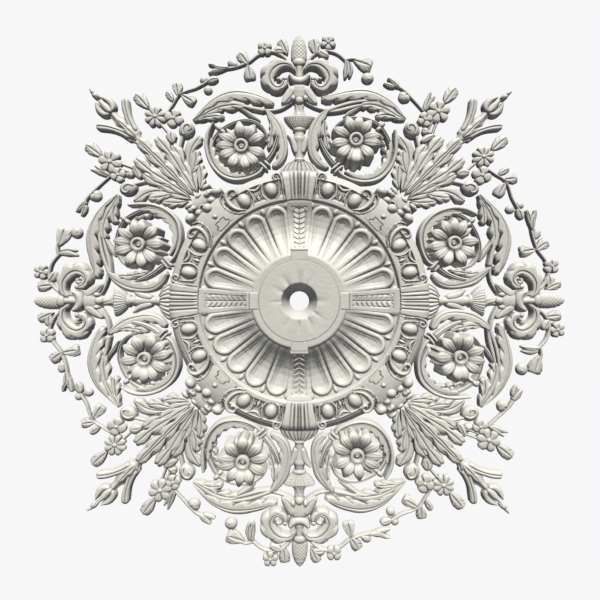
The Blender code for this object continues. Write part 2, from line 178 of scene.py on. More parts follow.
# Fluted centre
# The middle of the rose is turned: a pierced boss for the lamp's cable in a wide bowl. Its
# tongues radiate from the boss between four flat straps, each with a sunk middle in a round rim.
BACK = 0.0
HOLE_RADIUS = 22.0
TONGUES = 24
TONGUE_STEPS = 26
TONGUE_TIP_RADIUS = 211.5
TONGUE_RIM_WIDTH = 5.5
TONGUE_RIM_RISE = 7.5
TONGUE_SINK = 5.0
GROUND_SINK = 4.5
DART_RADIUS = 206.5
DART_RISE = 5.0
SHARP_EDGE = math.radians(42)
BOWL_PROFILE = [(HOLE_RADIUS, BACK), (HOLE_RADIUS, 56), (37.5, 97.5), (38.5, 99.5), (40, 100),
                (80, 100), (85, 100), (86.2, 96.6), (99, 97), (101, 96), (103, 93), (112, 88),
                (125, 79.5), (138, 73), (150, 68.5), (164, 66.5), (178, 67.5), (190, 69.5),
                (202, 73), (212, 76), (217, 76.5)]


def smoothstep(low, high, value):
    """0 below low, 1 above high, and a smooth rise between."""
    share = min(max((value - low) / (high - low), 0.0), 1.0)
    return share * share * (3 - 2 * share)


def read_profile(profile, radius):
    """Height of a profile of (radius, height) pairs at a radius beyond the hole."""
    for (inner, low), (outer, high) in zip(profile, profile[1:]):
        if inner < outer and radius <= outer:
            return low + (high - low) * (radius - inner) / (outer - inner)
    return profile[-1][1]


def tongue_relief(radius, angle):
    """How far the bowl rises or sinks at a place, for its tongues and the darts at their tips."""
    pitch = math.tau / TONGUES
    number = round(angle / pitch)
    across = abs(angle - number * pitch) * radius
    cap_centre = TONGUE_TIP_RADIUS / (1 + math.tan(pitch / 2))
    if radius < cap_centre:
        inside = radius * math.tan(pitch / 2) - across
    else:
        inside = cap_centre * math.tan(pitch / 2) - math.hypot(across, radius - cap_centre)
    fade = smoothstep(101, 108, radius) * (0.3 + 0.7 * smoothstep(108, 160, radius))
    dart = 1 - ((radius - DART_RADIUS) / 8.0) ** 2 - ((pitch * radius / 2 - across) / 4.8) ** 2
    if inside < 0:
        return DART_RISE * math.sqrt(max(0.0, dart)) - GROUND_SINK * fade
    if inside < TONGUE_RIM_WIDTH:
        rim = math.sqrt(1 - (1 - inside / TONGUE_RIM_WIDTH) ** 2)
        return fade * (TONGUE_RIM_RISE * rim - GROUND_SINK)
    sunk = 0.65 * smoothstep(8.0, 12.5, inside) + 0.35 * smoothstep(14.5, 17.5, inside)
    return fade * (TONGUE_RIM_RISE - GROUND_SINK - TONGUE_SINK * sunk)


def finish_piece(mesh, name, quarters=1, turn=0.0):
    """Turn a piece from the axis, repeat it in its quarters, set it face down, and plaster it."""
    bmesh.ops.recalc_face_normals(mesh, faces=mesh.faces[:])
    bmesh.ops.rotate(mesh, cent=(0, 0, 0), matrix=Matrix.Rotation(turn, 3, "Z"),
                     verts=mesh.verts[:])
    drawn = mesh.verts[:] + mesh.edges[:] + mesh.faces[:]
    for quarter in range(1, quarters):
        copied = bmesh.ops.duplicate(mesh, geom=drawn)["geom"]
        corners = [item for item in copied if isinstance(item, bmesh.types.BMVert)]
        round_axis = Matrix.Rotation(quarter * math.tau / quarters, 3, "Z")
        bmesh.ops.rotate(mesh, cent=(0, 0, 0), matrix=round_axis, verts=corners)
    for face in mesh.faces:
        face.smooth = len(face.verts) <= 4
    for edge in mesh.edges:
        edge.smooth = edge.is_manifold and edge.calc_face_angle() < SHARP_EDGE
    data = bpy.data.meshes.new(name)
    mesh.to_mesh(data)
    mesh.free()
    data.transform(Matrix.Rotation(math.pi, 4, "X") @ Matrix.Scale(METRES, 4))
    data.materials.append(plaster)
    piece = bpy.data.objects.new(name, data)
    bpy.context.scene.collection.objects.link(piece)
    # the carving is lit by the lamps alone, so its shaded sides stay as dark as in the photograph
    piece.visible_diffuse = False
    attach(piece, "root")
    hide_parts("ceiling_rose")


# the boss's face dips a little towards the hole in a few narrow wedges (angle, half-width, depth)
WEDGES = ((2, 6, 2.6), (-33, 7, 2.2), (-62, 7, 1.4), (28, 5, 1.0), (90, 8, 1.2), (-92, 5, 0.8),
          (127, 5, 1.4), (154, 6, 2.0), (181, 3, 2.6), (207, 8, 0.8))
# rings of the mesh lie about this far apart, and closer where the tongues end
RING_STEP = 3.0
TIP_RING_STEP = 1.6


def wedge_dip(radius, angle):
    """How far the boss's face dips at a place."""
    dip = 0.0
    for middle, half_width, depth in WEDGES:
        offset = (math.degrees(angle) - middle + 180) % 360 - 180
        dip += depth * math.exp(-(offset / half_width) ** 2)
    return dip * (1 - smoothstep(0, 1, (radius - 39) / 36)) * smoothstep(36, 39, radius)


columns = TONGUES * TONGUE_STEPS
radii = []
for (inner, low), (outer, high) in zip(BOWL_PROFILE, BOWL_PROFILE[1:]):
    spacing = TIP_RING_STEP if outer > 165 else RING_STEP
    steps = max(1, round((outer - inner) / spacing)) if inner > 39 else 1
    for step in range(steps):
        radii.append((inner + (outer - inner) * step / steps, low + (high - low) * step / steps))
radii += [BOWL_PROFILE[-1], (BOWL_PROFILE[-1][0], BACK)]
bowl = bmesh.new()
bmesh.ops.create_grid(bowl, x_segments=columns, y_segments=len(radii), size=0.5)
for vertex in bowl.verts:
    column = round((vertex.co.x + 0.5) * columns) % columns
    radius, height = radii[round((vertex.co.y + 0.5) * len(radii)) % len(radii)]
    angle = column * math.tau / columns
    if 101 < radius and height > 0:
        height += tongue_relief(radius, angle)
    elif radius < 80 and height > 0:
        height -= wedge_dip(radius, angle)
    vertex.co = (radius * math.sin(angle), radius * math.cos(angle), height)
bmesh.ops.remove_doubles(bowl, verts=bowl.verts[:], dist=0.01)
finish_piece(bowl, "fluted_bowl")

# Straps
# Four flat straps with a raised edge run over the bowl from keystones in the boss's ring to the
# frame. A double row of small overlapping leaves fills their sunk panels.

# forms are drawn as the camera shows them, to a scale that is true 24 mm out of the ceiling
PLAN_HEIGHT = 24.0
MERGE_DISTANCE = 0.02
POINTS_PER_SPAN = 16
ROW_LENGTH = 3.2
ROWS_PER_LOBE = 12
TEETH_PER_LOBE = 3
TOOTH_BITE = 0.12


def drawn_scale(height):
    """How far a drawn point moves in towards the centre to look right at this height."""
    return (EYE_DISTANCE - height) / (EYE_DISTANCE - PLAN_HEIGHT)


def along(values, share):
    """Smooth reading of evenly spaced values at a share of the way, from 0 to 1."""
    if not isinstance(values, (list, tuple)):
        return values
    place = share * (len(values) - 1)
    index = min(int(place), len(values) - 2)
    part = place - index
    start, end = values[index], values[index + 1]
    rise_in = (end - values[max(index - 1, 0)]) / 2
    rise_out = (values[min(index + 2, len(values) - 1)] - start) / 2
    bend_in = (part - 1) ** 2 * part * rise_in
    bend_out = (part - 1) * part * part * rise_out
    return start + (end - start) * part * part * (3 - 2 * part) + bend_in + bend_out


def smooth_path(points):
    """Closely spaced points along a smooth curve through the given ones, with their distances."""
    knots = [Vector((x, y, 0)) for x, y in points]
    ends = [2 * knots[0] - knots[1], *knots, 2 * knots[-1] - knots[-2]]
    dense = []
    for before, start, end, after in zip(ends, ends[1:], ends[2:], ends[3:]):
        lean_in = start + (end - before) / 6
        lean_out = end - (after - start) / 6
        dense += interpolate_bezier(start, lean_in, lean_out, end, POINTS_PER_SPAN + 1)[:-1]
    dense.append(knots[-1])
    distances = [0.0]
    for start, end in zip(dense, dense[1:]):
        distances.append(distances[-1] + (end - start).length)
    return dense, distances


def path_point(path, distance):
    """Point and direction of a smooth path at a distance along it."""
    dense, distances = path
    index = min(max(bisect_left(distances, distance) - 1, 0), len(dense) - 2)
    share = (distance - distances[index]) / (distances[index + 1] - distances[index])
    run_in = dense[index + 1] - dense[max(index - 1, 0)]
    run_out = dense[min(index + 2, len(dense) - 1)] - dense[index]
    direction = run_in.normalized().lerp(run_out.normalized(), share)
    return dense[index].lerp(dense[index + 1], share), direction


def carve(mesh, columns, rows, place):
    """Add one closed raised form: a sheet bent by place(u, v), with upright walls to the back."""
    corners = bmesh.ops.create_grid(mesh, x_segments=columns, y_segments=rows, size=0.5)["verts"]
    for vertex in corners:
        vertex.co = place(vertex.co.x + 0.5, vertex.co.y + 0.5)
    # dict.fromkeys drops repeats but keeps the order, so points are numbered alike each run
    sheet = dict.fromkeys(face for vertex in corners for face in vertex.link_faces)
    bmesh.ops.remove_doubles(mesh, verts=corners, dist=MERGE_DISTANCE)
    rim = dict.fromkeys(edge for face in sheet if face.is_valid
                        for edge in face.edges if edge.is_boundary)
    lowered = bmesh.ops.extrude_edge_only(mesh, edges=list(rim))["geom"]
    feet = [item for item in lowered if isinstance(item, bmesh.types.BMVert)]
    for vertex in feet:
        vertex.co.z = BACK
    sole = dict.fromkeys(edge for vertex in feet for edge in vertex.link_edges if edge.is_boundary)
    bmesh.ops.contextual_create(mesh, geom=list(sole))


def stroke(mesh, points, widths, crest, drop=8.0, lobes=(0, 0), bite=0.3, lean=0.6, vein=3.0,
           grooves=(), crown=2.0, columns=8, ends=(1, 1)):
    """Raised band along a smooth path: a stem, a petal or an acanthus leaf.

    Half-widths and crest heights are read along it, and its edges lie drop below the crest. lobes
    are counted on the left and right edge; each has small teeth, bites in by bite at its ends,
    leans forward by lean widths and has a vein before the next. Each groove is (place across,
    half-width, depth). ends says which ends are rounded off.
    """
    path = smooth_path(points)
    length = path[1][-1]
    rows = max(8, round(length / ROW_LENGTH), ROWS_PER_LOBE * max(lobes))
    start_width, end_width = max(along(widths, 0), 1.0), max(along(widths, 1), 1.0)

    def place(u, v):
        # rows lie closer together towards the ends
        share = v - 0.7 * math.sin(math.tau * v) / math.tau
        distance = share * length
        point, run = path_point(path, distance)
        across = 2 * u - 1
        width = along(widths, share)
        rounding = 1.0
        if ends[0] and distance < start_width:
            rounding = math.sqrt(max(0.0, 1 - (1 - distance / start_width) ** 2))
        if ends[1] and length - distance < end_width:
            rounding *= math.sqrt(max(0.0, 1 - (1 - (length - distance) / end_width) ** 2))
        reach = abs(across)
        count = lobes[1] if across > 0 else lobes[0]
        top = along(crest, share)
        dome = max(0.0, 1 - reach ** crown) ** 0.5
        height = top - drop * (1 - dome * rounding)
        forward = 0.0
        if count and reach > 0:
            forward = lean * width * reach * reach * rounding
            swell = abs(math.sin(math.pi * count * share))
            tooth = abs(math.sin(math.pi * TEETH_PER_LOBE * count * share))
            width *= 1 - bite * (1 - swell ** 0.8) - TOOTH_BITE * (1 - tooth ** 0.7)
            height -= vein * (1 - swell ** 0.6) ** 1.3 * smoothstep(0.4, 0.85, reach) * rounding
        for middle, breadth, depth in grooves:
            height -= depth * math.exp(-((across - middle) / breadth) ** 2) * rounding
        side = Vector((run.y, -run.x, 0)).normalized()
        point = point + side * across * width * rounding + run.normalized() * forward
        point = point * drawn_scale(top)
        point.z = height
        return point

    carve(mesh, columns, rows, place)


def dome(mesh, centre, radii, crest, drop=6.0, tilt=0.0, petals=0, bite=0.2, vein=2.0, sides=20,
         rings=5, hollow=0.0, drawn=True):
    """Rounded boss, such as a berry or an open flower; its crest sinks by hollow in the middle.

    A form that isn't drawn as the camera shows it lies at its true place.
    """
    scale = drawn_scale(crest) if drawn else 1.0
    lean = Matrix.Rotation(math.radians(tilt), 2)

    def place(u, v):
        angle = u * math.tau
        reach = v
        height = crest - drop * (1 - math.sqrt(max(0.0, 1 - v * v))) - hollow * (1 - v * v) ** 2
        if petals:
            swell = abs(math.sin(petals * angle / 2)) ** 0.6
            reach *= 1 - bite * (1 - swell)
            height -= vein * (1 - swell) ** 2 * smoothstep(0.1, 0.5, v)
        offset = lean @ Vector((radii[0] * math.sin(angle), radii[1] * math.cos(angle))) * reach
        point = (Vector(centre) + offset).to_3d() * scale
        point.z = height
        return point

    carve(mesh, sides, rings, place)


STRAP_INNER_RADIUS = 88.0
STRAP_OUTER_RADIUS = 217.0
KEYSTONE_RADIUS = 105.0
KEYSTONE_HALF_WIDTH = 18.0
KEYSTONE_HEIGHT = 100.0
PANEL_INNER_RADIUS = 114.0
PANEL_OUTER_RADIUS = 203.0
PANEL_SINK = 3.2
LEAF_PITCH = 11.0
LEAF_HALF_WIDTH = 14.0
LEAF_RISE = 3.4


def strap_height(radius, across, half_width):
    """Height of a strap: keystone, raised edge, and leaves pointing to the centre in its panel."""
    if radius < KEYSTONE_RADIUS:
        return KEYSTONE_HEIGHT - 1.2 * smoothstep(0.9, 1.0, abs(across))
    height = read_profile(BOWL_PROFILE, radius) + 4.5 * smoothstep(104, 112, radius)
    ends = smoothstep(PANEL_INNER_RADIUS - 1, PANEL_INNER_RADIUS + 1, radius)
    ends *= 1 - smoothstep(PANEL_OUTER_RADIUS - 1, PANEL_OUTER_RADIUS + 1, radius)
    edge = (1 - abs(across)) * half_width
    sunk = ends * smoothstep(half_width * 0.36, half_width * 0.36 + 2, edge)
    reach = abs(across) * half_width / LEAF_HALF_WIDTH
    phase = (radius - 7.0 * reach) / LEAF_PITCH
    share = phase - math.floor(phase)
    leaf = (1 - share) ** 0.8 * smoothstep(0.0, 0.12, share) * (1 - smoothstep(0.7, 1.0, reach))
    leaf *= smoothstep(0.0, 0.16, reach)
    height -= smoothstep(0.94, 1.0, abs(across))
    return height + sunk * (LEAF_RISE * leaf - PANEL_SINK)


def place_strap(u, v):
    """A point of the strap on the +y axis, from a share across it and a share outwards."""
    radius = STRAP_INNER_RADIUS + (STRAP_OUTER_RADIUS - STRAP_INNER_RADIUS) * v
    half_width = KEYSTONE_HALF_WIDTH
    if radius >= KEYSTONE_RADIUS:
        half_width = 19.0 + 8.0 * smoothstep(0, 1, (radius - 107) / 100)
    across = 2 * u - 1
    return Vector((across * half_width, radius, strap_height(radius, across, half_width)))


straps = bmesh.new()
carve(straps, 44, 92, place_strap)
finish_piece(straps, "straps", quarters=4)

# Frame of the bowl
# A heavy rounded band runs round the bowl. Its ornament is cast with it: reeded clasps on the
# axes, leathery cartouches on the diagonals, and two eggs in collars between them.
FRAME_INNER_RADIUS = 214.5
FRAME_RADIUS = 279.0
FRAME_PROFILE = [(FRAME_INNER_RADIUS, 75), (215.6, 77), (216.6, 84), (217.6, 86), (219, 87),
                 (226, 87.2), (228.5, 86.3), (230.5, 82.5), (233, 81), (240, 80.5), (250, 80.5),
                 (257, 81), (260.5, 82), (261.5, 86.5), (263, 88.3), (264.5, 88), (266, 86),
                 (270, 84.5), (275, 80.5), (FRAME_RADIUS, 75.5), (290, 70)]
FRAME_COLUMNS = 1152
FRAME_ROWS = 62
EGG_RADIUS = 244.5
EGG_ANGLES = (14.4, 29.0)
EGG_HALF_LENGTH = 17.5
EGG_RISE = 14.0
EGG_GROUND = 79.5
# arcs on the band are measured at this radius
ARC_RADIUS = 249.0
CLASP_HEIGHT = 93.0
CLASP_SHOULDER = 262.0
CLASP_GROOVES = ((2.8, 4.5), (11.0, 4.5), (18.8, 2.5))
CARTOUCHE_EDGE_HEIGHT = 77.0
CARTOUCHE_RISE = 13.5
BEAD_RADIUS = 5.5
BEAD_RISE = 6.0
RIDGE_GROUND = 82.5
# volutes, collars and darts are ridges on the band, drawn for half a quarter: each is a path in
# angle from the axis and radius, its half-widths along the path, and its rise
FRAME_RIDGES = [
    # the volute beside the clasp, and its branch
    ([(8.3, 221.3), (8.4, 237.5), (8.2, 252.6), (8.3, 263.8), (9.2, 274.5), (10.8, 276.4),
      (11.9, 270.8), (11.4, 263.6), (10.1, 264.6), (10.0, 270.1), (10.9, 271)],
     (1.8, 2.0, 2.4, 3.0, 3.2, 3.2, 3.0, 2.6, 2.4, 2.2, 2.0), 8.0),
    ([(9.8, 259.8), (10.2, 243.8), (10.9, 230.1), (12.6, 224.9)], (1.8, 2.4, 2.4, 1.5), 6.5),
    # the collars of the two eggs
    ([(17.6, 262), (18.7, 250), (19.0, 238), (17.6, 227)], (2.0, 2.6, 2.6, 1.5), 7.0),
    ([(25.0, 262), (24.2, 250), (24.2, 238), (25.6, 226)], (2.0, 2.6, 2.6, 1.5), 7.0),
    # the dart between the eggs, the arch over it, and a line on either side
    ([(21.6, 243), (21.6, 236), (21.6, 231)], (1.8, 4.2, 2.4), 7.0),
    ([(18.4, 261.5), (20.0, 256.5), (21.6, 254), (23.2, 256.5), (24.8, 261.5)],
     (1.8, 3.4, 3.0, 3.4, 1.8), 7.0),
    ([(20.4, 246), (20.0, 240), (19.8, 233)], (1.2, 1.8, 1.5), 5.0),
    ([(22.8, 246), (23.2, 240), (23.4, 233)], (1.2, 1.8, 1.5), 5.0),
    # the volute beside the cartouche, and the rib behind it
    ([(30.6, 226), (33.4, 233), (35.2, 244), (35.9, 258), (35.2, 271), (33.1, 278), (30.9, 276),
      (30.3, 268.5), (31.5, 263.5), (32.8, 266.5), (32.4, 270.5)],
     (1.8, 3.6, 5.4, 6.0, 5.2, 4.0, 3.4, 3.0, 2.6, 2.4, 2.0), 10.0),
    ([(31.5, 221.5), (34.8, 227), (37.4, 239), (38.5, 251), (38.6, 262), (37.8, 274), (36.0, 281)],
     (1.5, 1.9, 2.0, 2.0, 2.0, 2.0, 1.8), 9.0),
]
ridge_trees = []
for polar, widths, rise in FRAME_RIDGES:
    dense = smooth_path([(radius * math.sin(math.radians(angle)),
                          radius * math.cos(math.radians(angle))) for angle, radius in polar])[0]
    tree_of_points = KDTree(len(dense))
    for index, point in enumerate(dense):
        tree_of_points.insert(point, index)
    tree_of_points.balance()
    ridge_trees.append((tree_of_points, len(dense) - 1, widths, rise))


def clasp_height(radius, arc):
    """Height of the reeded clasp; arc is the distance from its axis along the band."""
    half_width = 33.0 + 2.5 * (radius - 218) / 62
    scalloped_foot = 218.5 - 2.0 * abs(math.sin(arc * 0.42))
    if not scalloped_foot < radius < 280.5 or arc > half_width:
        return 0.0
    height = CLASP_HEIGHT - 4.0 * ((CLASP_SHOULDER - radius) / 44) ** 2
    if radius > CLASP_SHOULDER:
        turned_down = 1 - ((radius - CLASP_SHOULDER) / 18.5) ** 2
        height = CLASP_HEIGHT - 15.0 * (1 - math.sqrt(max(0.0, turned_down)))
    for middle, depth in CLASP_GROOVES:
        height -= depth * math.exp(-((arc - middle) / 1.4) ** 2)
    return height - 4.0 * smoothstep(half_width - 3.5, half_width, arc) ** 2


def cartouche_height(out, across):
    """Height of the smooth cartouche on the diagonal, with a tab at its foot and a bead."""
    if not 224 < out < 284 or across > 33:
        return 0.0
    roundness = math.sqrt(max(0.0, 1 - ((out - 246) / 42.0) ** 2))
    height = CARTOUCHE_EDGE_HEIGHT + CARTOUCHE_RISE * roundness - 1.5 * (across / 30) ** 2
    # the tab stands up within a narrow groove
    if out < 240 and across < 9.5 + 4.5 * smoothstep(233, 229, out):
        height = max(height, 89.0) + 3.0
    elif out < 241.5 and across < 12 + 4.5 * smoothstep(234, 230, out):
        height -= 2.5
    bead = ((out - 254) / BEAD_RADIUS) ** 2 + (across / BEAD_RADIUS) ** 2
    return height + BEAD_RISE * math.sqrt(max(0.0, 1 - bead))


def frame_height(angle, radius):
    """Height of the frame at an angle between an axis (0) and a diagonal (45 degrees)."""
    height = read_profile(FRAME_PROFILE, radius)
    for middle in EGG_ANGLES:
        arc = (angle - math.radians(middle)) * radius
        along_egg = (radius - EGG_RADIUS) / EGG_HALF_LENGTH
        fullness = (arc / (13.6 + along_egg)) ** 2 + along_egg ** 2
        if fullness < 1:
            height = EGG_GROUND + EGG_RISE * math.sqrt(1 - fullness)
        elif fullness < 1.35 and radius < 261:
            height = min(height, EGG_GROUND)
    place = Vector((radius * math.sin(angle), radius * math.cos(angle), 0))
    out = (place.x + place.y) / math.sqrt(2)
    across = abs(place.y - place.x) / math.sqrt(2)
    raised = max(clasp_height(radius, angle * ARC_RADIUS), cartouche_height(out, across))
    for tree_of_points, last, widths, rise in ridge_trees:
        _, index, distance = tree_of_points.find(place)
        reach = distance / along(widths, index / last)
        if reach < 1:
            raised = max(raised, RIDGE_GROUND + rise * math.sqrt(1 - reach * reach))
    return max(height, raised)


frame_band = bmesh.new()
bmesh.ops.create_grid(frame_band, x_segments=FRAME_COLUMNS, y_segments=FRAME_ROWS + 3, size=0.5)
# heights repeat in every eighth of the band, so each is worked out once
heights = {}
for vertex in frame_band.verts:
    column = round((vertex.co.x + 0.5) * FRAME_COLUMNS) % FRAME_COLUMNS
    row = round((vertex.co.y + 0.5) * (FRAME_ROWS + 3)) % (FRAME_ROWS + 3)
    folded = min(column % (FRAME_COLUMNS // 4), -column % (FRAME_COLUMNS // 4))
    fold_angle = folded * math.tau / FRAME_COLUMNS
    # the band is a little wider towards the diagonals
    outer = FRAME_RADIUS + 2.5 * smoothstep(0.46, 0.58, fold_angle)
    share = (min(max(row, 1), FRAME_ROWS + 1) - 1) / FRAME_ROWS
    radius = FRAME_INNER_RADIUS + (outer - FRAME_INNER_RADIUS) * share
    if (folded, row) not in heights:
        top = 0 < row < FRAME_ROWS + 2
        heights[folded, row] = frame_height(fold_angle, radius) if top else BACK
    angle = column * math.tau / FRAME_COLUMNS
    vertex.co = (radius * math.sin(angle), radius * math.cos(angle), heights[folded, row])
bmesh.ops.remove_doubles(frame_band, verts=frame_band.verts[:], dist=0.01)
finish_piece(frame_band, "frame_band")

# Ribbons
# A ribbon ties each bouquet to its cartouche. Its loops, tails and knot are puffy and rounded, and
# a tight band round the stems ends in a knuckle on either side.
DIAGONAL = math.radians(45)
ribbons = bmesh.new()
# a low pad under the knot, and the knot
dome(ribbons, (4, 303), (38, 18), 70, 8, tilt=-8, drawn=False, sides=36)
dome(ribbons, (1, 279), (12, 12), 96, 16, drawn=False, sides=28, rings=8)
# on either side a knuckle at the end of the band, a loop, and a folded tail
for side in (-1, 1):
    dome(ribbons, (side * 41, 292), (12.5, 10), 87, 13, tilt=side * -14, drawn=False,
         sides=28, rings=8)
    dome(ribbons, (side * 19, 286.5), (9.5, 8.5), 87, 12, tilt=side * -8, drawn=False,
         sides=24, rings=7)
    dome(ribbons, (side * 24, 304), (11, 8.5), 78, 9, drawn=False, petals=2, vein=4)
# the curl above the knot, and the band round the stems
stroke(ribbons, [(4, 296), (-2, 307), (-11, 306), (-13, 299), (-8, 296)], (2.5, 3.4, 3.2, 3, 2.4),
       83, 8)
dome(ribbons, (-21, 315), (13.5, 6.8), 70, 10, tilt=-14, drawn=False)
dome(ribbons, (6, 316), (10, 6.2), 72, 10, tilt=-2, drawn=False)
dome(ribbons, (31, 320), (11, 6.4), 68, 10, tilt=-5, drawn=False)
finish_piece(ribbons, "ribbons", quarters=4, turn=DIAGONAL)

# Rosettes
# Two big flower heads stand in every quarter, modelled one by one and pressed into the scrolls:
# broad ribbed petals droop from a sunk hub with a button, with narrow ones between, over a dome.
HUB_HEIGHT = 85.0
HUB_RINGS = [(0, 72), (3, 73), (4.5, 70), (7, 69), (8.5, 80), (10, 84.5), (12, HUB_HEIGHT),
             (14.5, 84), (15.5, 79), (15.5, 55)]
PETAL_FOOT = 12.0
PETAL_RIBS = ((-0.3, 0.13, 1.0), (0.3, 0.13, 1.0))


def rosette(mesh, centre, radius, broad, narrow):
    """One flower head round its hub's drawn centre; petals are given in degrees from the top."""
    eye = Vector(centre) * drawn_scale(HUB_HEIGHT)

    def place_hub(u, v):
        reach, height = HUB_RINGS[round(v * (len(HUB_RINGS) - 1))]
        angle = u * math.tau
        return Vector((eye.x + reach * math.sin(angle), eye.y + reach * math.cos(angle), height))

    def petal(degrees, length, tops, widths, **shape):
        out = Vector((math.sin(math.radians(degrees)), math.cos(math.radians(degrees))))
        # a petal lies at its own true place, so the drawn plan is undone along its falling crest
        path = [tuple((eye + out * (PETAL_FOOT + length * share)) / drawn_scale(along(tops, share)))
                for share in (0, 0.25, 0.5, 0.75, 1)]
        stroke(mesh, path, widths, tops, ends=(0, 1), **shape)

    carve(mesh, 28, len(HUB_RINGS) - 1, place_hub)
    for degrees in broad:
        petal(degrees, radius - 12, (66, 77, 83, 83, 75), (5, 8.5, 12, 13, 9, 2.5), drop=8,
              crown=2.8, columns=14, grooves=PETAL_RIBS)
    for degrees in narrow:
        petal(degrees, radius - 15, (66, 72, 75, 74, 66), (4, 6, 8, 9, 6, 2), drop=8, crown=2.4)
    dome(mesh, centre, (36, 36), 66, 14, sides=28)


ROSETTE_RADIUS = 56.0
rosettes = bmesh.new()
rosette(rosettes, (-131, 350), ROSETTE_RADIUS, (-5, 33, 65, 112, 142, 168, 207, 241, 270, 297),
        (153, 189, 320))
rosette(rosettes, (128, 364), ROSETTE_RADIUS, (9, 39, 80, 100, 138, 180, 226, 258, 296, 339),
        (163, 199))
finish_piece(rosettes, "rosettes", quarters=4)

# Scrolls
# Acanthus scrolls wind round the rosettes, cast with the rest and undercut by hand. The stems are
# reeded, and the leaves are thick and lobed, with a vein cut between every two lobes.
LEAF_LEAN = 0.9
LEAF_VEIN = 6.0
LEAF_CROWN = 4.5
REED = ((0.0, 0.22, 4.0),)
MIDRIB = ((-0.12, 0.06, 1.6), (0.12, 0.06, 1.6))
SIDE_VEIN = ((0.0, 0.10, 2.2),)


def leaf(mesh, points, widths, crest, lobes, drop=7.0, bite=0.5, grooves=MIDRIB, columns=18,
         ends=(1, 1)):
    """Acanthus leaf: flat-topped, with toothed lobes that lean forward and a vein behind each."""
    stroke(mesh, points, widths, crest, drop, lobes, bite, LEAF_LEAN, LEAF_VEIN, grooves,
           LEAF_CROWN, columns, ends)


left = bmesh.new()
# the ring round the rosette, a leaf along its inside, and the lobes at that leaf's end
stroke(left, [(-80, 302), (-92, 287), (-120, 275), (-150, 273), (-178, 285), (-199, 310),
              (-209, 342), (-208, 370), (-201, 388), (-193, 402)],
       (4, 4, 4, 4.5, 4.5, 4.5, 4.5, 5, 5, 2.5), 39, 10, crown=2.6)
leaf(left, [(-94, 294), (-118, 285), (-147, 283), (-171, 293), (-188, 314), (-197, 340),
            (-198, 366)], (4, 9, 12, 14, 12, 8, 4), 34, (0, 7), grooves=((-0.5, 0.08, 4.0),))
for place, reach in (((-188, 326), 8), ((-184, 343), 7), ((-181, 360), 7), ((-176, 373), 6)):
    stroke(left, [(place[0] - 6, place[1] - 5), place, (place[0] + 5, place[1] + 9)],
           (4, reach * 0.8, 2.5), 29, 7, grooves=SIDE_VEIN)
# the reeded shoot that goes on round the rosette, with two buds in its fork
stroke(left, [(-203, 330), (-198, 350), (-190, 368), (-176, 384), (-151, 399), (-125, 406),
              (-100, 402), (-81, 388), (-71, 364)], (4.5, 4.5, 4.5, 4.5, 4, 4, 4, 3.5, 3), 34, 8,
       grooves=REED, crown=2.6, columns=12)
dome(left, (-181, 389), (9, 6), 38, tilt=-45)
dome(left, (-172, 381), (8, 5), 37, tilt=-45)
# the big leaf outside, smaller ones under it, and the stems they grow from
leaf(left, [(-240, 406), (-214, 430), (-186, 450), (-155, 460), (-125, 461), (-95, 455),
            (-60, 445)], (3, 7, 12, 15, 16, 14, 8), 29, (1, 6), grooves=((-0.4, 0.08, 2.0),))
leaf(left, [(-237, 402), (-212, 419), (-180, 434), (-150, 439), (-120, 438)], (4, 9, 13, 13, 6), 25,
     (0, 4), grooves=SIDE_VEIN)
leaf(left, [(-238, 405), (-214, 411), (-194, 414), (-171, 415)], (4, 9, 11, 5), 24, (1, 3),
     grooves=SIDE_VEIN)
stroke(left, [(-200, 436), (-170, 445), (-140, 442), (-110, 434), (-76, 428)], (2, 4, 4.5, 5, 6),
       25, 9, crown=3)
stroke(left, [(-142, 437), (-126, 429), (-108, 417), (-88, 404)], (2.5, 4.5, 6, 3), 24, 8,
       grooves=SIDE_VEIN)
stroke(left, [(-78, 427), (-58, 428), (-39, 433), (-16, 447)], (5, 4, 4, 4), 22, 7, crown=2.6)
# the leaf beside the candelabrum, and its reeded sheath, tied with two bands
leaf(left, [(-75, 428), (-63, 411), (-50, 386), (-41, 358), (-39, 335), (-46, 314), (-58, 300)],
     (5, 12, 17, 15, 13, 11, 5), 30, (0, 5), grooves=((-0.4, 0.08, 2.0),))
leaf(left, [(-64, 405), (-61, 385), (-64, 363), (-68, 341)], (6, 12, 10, 4), 32, (2, 4),
     grooves=SIDE_VEIN)
stroke(left, [(-47, 376), (-53, 352), (-62, 332), (-77, 312)], (4, 5, 5.5, 6), 36, 8, grooves=REED,
       columns=12)
stroke(left, [(-92, 313), (-82, 305), (-72, 295)], (3, 4.5, 3), 42, 9)
stroke(left, [(-84, 319), (-76, 312), (-66, 303)], (3, 4.5, 3), 40, 9)
finish_piece(left, "left_scrolls", quarters=4)

right = bmesh.new()
# the ring round the rosette, a leaf along its inside, and the lobes at that leaf's end
stroke(right, [(86, 294), (100, 281), (124, 271), (150, 268), (180, 275), (203, 297), (215, 325),
               (218, 352), (216, 387)], (4, 4, 4, 4.5, 4.5, 4.5, 4.5, 5, 3), 39, 10, crown=2.6)
leaf(right, [(102, 292), (126, 281), (152, 278), (177, 288), (195, 308), (204, 334), (206, 358)],
     (4, 9, 12, 14, 12, 8, 4), 34, (7, 0), grooves=((0.5, 0.08, 4.0),))
for place, reach in (((194, 320), 8), ((191, 337), 7), ((188, 353), 7), ((184, 367), 6)):
    stroke(right, [(place[0] + 6, place[1] - 5), place, (place[0] - 5, place[1] + 9)],
           (4, reach * 0.8, 2.5), 29, 7, grooves=SIDE_VEIN)
